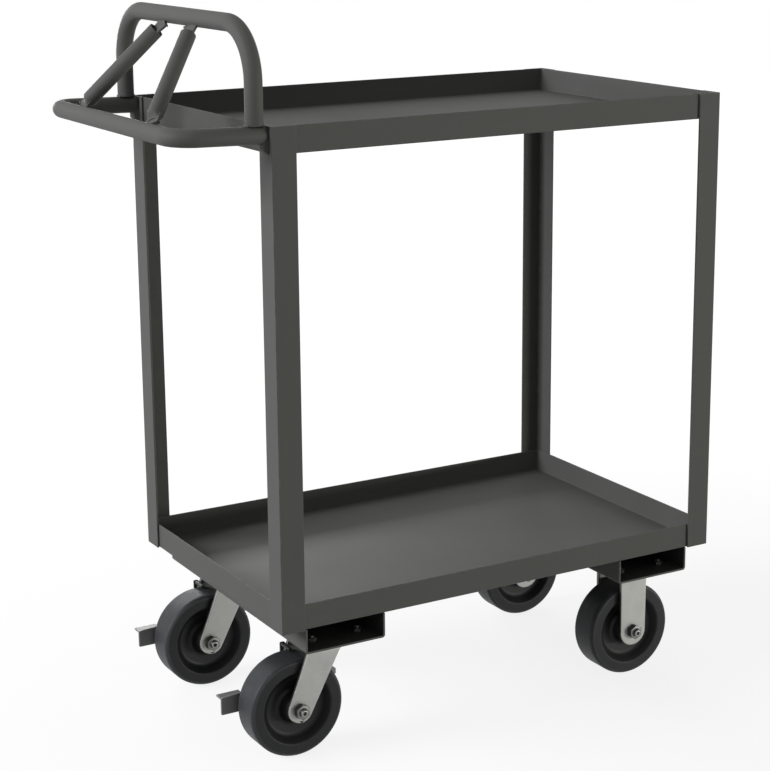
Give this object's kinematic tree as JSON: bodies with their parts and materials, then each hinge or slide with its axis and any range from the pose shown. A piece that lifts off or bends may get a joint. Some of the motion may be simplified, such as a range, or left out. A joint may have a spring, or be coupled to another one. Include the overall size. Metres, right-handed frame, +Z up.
{
  "type": "stock cart",
  "caption": "Two lipped steel shelves on angle legs, with a raised tube handle, braked swivel casters under the handle and rigid casters at the other end.",
  "frame": {"origin": "on the floor, under the middle of the whole outline", "axes": "X along the cart with the handle at -X, Y across it with the brake levers on the +Y side of their wheels, Z up"},
  "size_m": [0.9157, 0.482, 1.0992],
  "materials": {
    "paint": "satin dark grey enamel",
    "zinc": "dull zinc plate",
    "steel": "bright zinc plate",
    "dark_steel": "black oxide",
    "lever": "plain steel",
    "phenolic": "moulded black phenolic, slightly worn"
  },
  "bodies": {
    "cart": {"leg_handle_near": "paint", "leg_handle_far": "paint", "leg_front_near": "paint", "leg_front_far": "paint", "shelf_lower": "paint", "shelf_upper": "paint", "channel_handle": "paint", "channel_front": "paint", "handle_lower": "paint", "handle_upper": "paint", "strut_near": "paint", "strut_far": "paint", "plate_swivel_near": "zinc", "race_swivel_near": "zinc", "kingpin_swivel_near": "steel", "plate_swivel_far": "zinc", "race_swivel_far": "zinc", "kingpin_swivel_far": "steel", "bracket_rigid_near": "zinc", "bushing_rigid_near": "steel", "axle_bolt_rigid_near": "steel", "axle_nut_rigid_near": "dark_steel", "bracket_rigid_far": "zinc", "bushing_rigid_far": "steel", "axle_bolt_rigid_far": "steel", "axle_nut_rigid_far": "dark_steel", "bolt_handle_1": "steel", "bolt_handle_2": "steel", "bolt_handle_3": "steel", "bolt_handle_4": "steel", "bolt_handle_5": "steel", "bolt_handle_6": "steel", "bolt_handle_7": "steel", "bolt_handle_8": "steel", "bolt_front_1": "steel", "bolt_front_2": "steel", "bolt_front_3": "steel", "bolt_front_4": "steel", "bolt_front_5": "steel", "bolt_front_6": "steel", "bolt_front_7": "steel", "bolt_front_8": "steel"},
    "swivel_near": {"fork_swivel_near": "zinc", "bushing_swivel_near": "steel", "axle_bolt_swivel_near": "steel", "axle_nut_swivel_near": "dark_steel", "brake_pin_swivel_near": "steel"},
    "wheel_swivel_near": {"wheel_swivel_near": "phenolic"},
    "brake_near": {"brake_swivel_near": "lever"},
    "swivel_far": {"fork_swivel_far": "zinc", "bushing_swivel_far": "steel", "axle_bolt_swivel_far": "steel", "axle_nut_swivel_far": "dark_steel", "brake_pin_swivel_far": "steel"},
    "wheel_swivel_far": {"wheel_swivel_far": "phenolic"},
    "brake_far": {"brake_swivel_far": "lever"},
    "wheel_rigid_near": {"wheel_rigid_near": "phenolic"},
    "wheel_rigid_far": {"wheel_rigid_far": "phenolic"}
  },
  "joints": [
    {"name": "swivel_near_turn", "type": "hinge", "parent": "cart", "child": "swivel_near", "pos_m": [-0.20665, -0.1556, 0.1713], "axis": [0, 0, 1], "continuous": true},
    {"name": "swivel_far_turn", "type": "hinge", "parent": "cart", "child": "swivel_far", "pos_m": [-0.20665, 0.1556, 0.1713], "axis": [0, 0, 1], "continuous": true},
    {"name": "wheel_swivel_near_roll", "type": "hinge", "parent": "swivel_near", "child": "wheel_swivel_near", "pos_m": [-0.25865, -0.1556, 0.0762], "axis": [0, 1, 0], "continuous": true},
    {"name": "wheel_swivel_far_roll", "type": "hinge", "parent": "swivel_far", "child": "wheel_swivel_far", "pos_m": [-0.25865, 0.1556, 0.0762], "axis": [0, 1, 0], "continuous": true},
    {"name": "wheel_rigid_near_roll", "type": "hinge", "parent": "cart", "child": "wheel_rigid_near", "pos_m": [0.35235, -0.1556, 0.0762], "axis": [0, 1, 0], "continuous": true},
    {"name": "wheel_rigid_far_roll", "type": "hinge", "parent": "cart", "child": "wheel_rigid_far", "pos_m": [0.35235, 0.1556, 0.0762], "axis": [0, 1, 0], "continuous": true},
    {"name": "brake_near_press", "type": "hinge", "parent": "swivel_near", "child": "brake_near", "pos_m": [-0.23865, -0.1556, 0.1172], "axis": [0, -1, 0], "range_deg": [0, 5]},
    {"name": "brake_far_press", "type": "hinge", "parent": "swivel_far", "child": "brake_far", "pos_m": [-0.23865, 0.1556, 0.1172], "axis": [0, -1, 0], "range_deg": [0, 5]}
  ]
}
